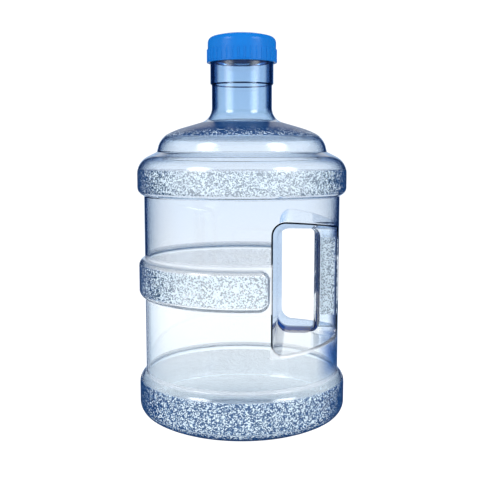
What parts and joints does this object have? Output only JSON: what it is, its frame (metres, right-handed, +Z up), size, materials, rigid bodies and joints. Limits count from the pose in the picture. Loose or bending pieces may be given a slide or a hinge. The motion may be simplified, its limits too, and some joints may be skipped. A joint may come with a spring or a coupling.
{
  "type": "water jug",
  "caption": "Clear blue water jug with raised frosted bands, a hollow side grip moulded into the body, a narrow neck, and a ribbed screw cap that closes on a sealing ring.",
  "frame": {"origin": "centre of the base, on the surface the jug stands on", "axes": "+Z up along the neck's axis, +X towards the grip, the hole behind the grip runs along Y"},
  "size_m": [0.18, 0.18, 0.335],
  "materials": {
    "polycarbonate": "clear pale blue blown polycarbonate, glossy, with finely stippled bands",
    "cap_plastic": "saturated blue moulded polyethylene, satin",
    "silicone": "translucent white silicone, satin"
  },
  "bodies": {
    "bottle": {"bottle": "polycarbonate"},
    "seal": {"cap_seal": "silicone"},
    "cap": {"screw_cap": "cap_plastic"}
  },
  "joints": [
    {"name": "cap_lift", "type": "slide", "parent": "bottle", "child": "seal", "axis": [0, 0, 1], "range_m": [0, 0.026]},
    {"name": "cap_turn", "type": "hinge", "parent": "seal", "child": "cap", "pos_m": [0, 0, 0.32], "axis": [0, 0, 1], "range_deg": [0, 780]}
  ],
  "couplings": [
    {"joint": "cap_lift", "follows": "cap_turn", "m_per_rad": 0.0019098}
  ]
}
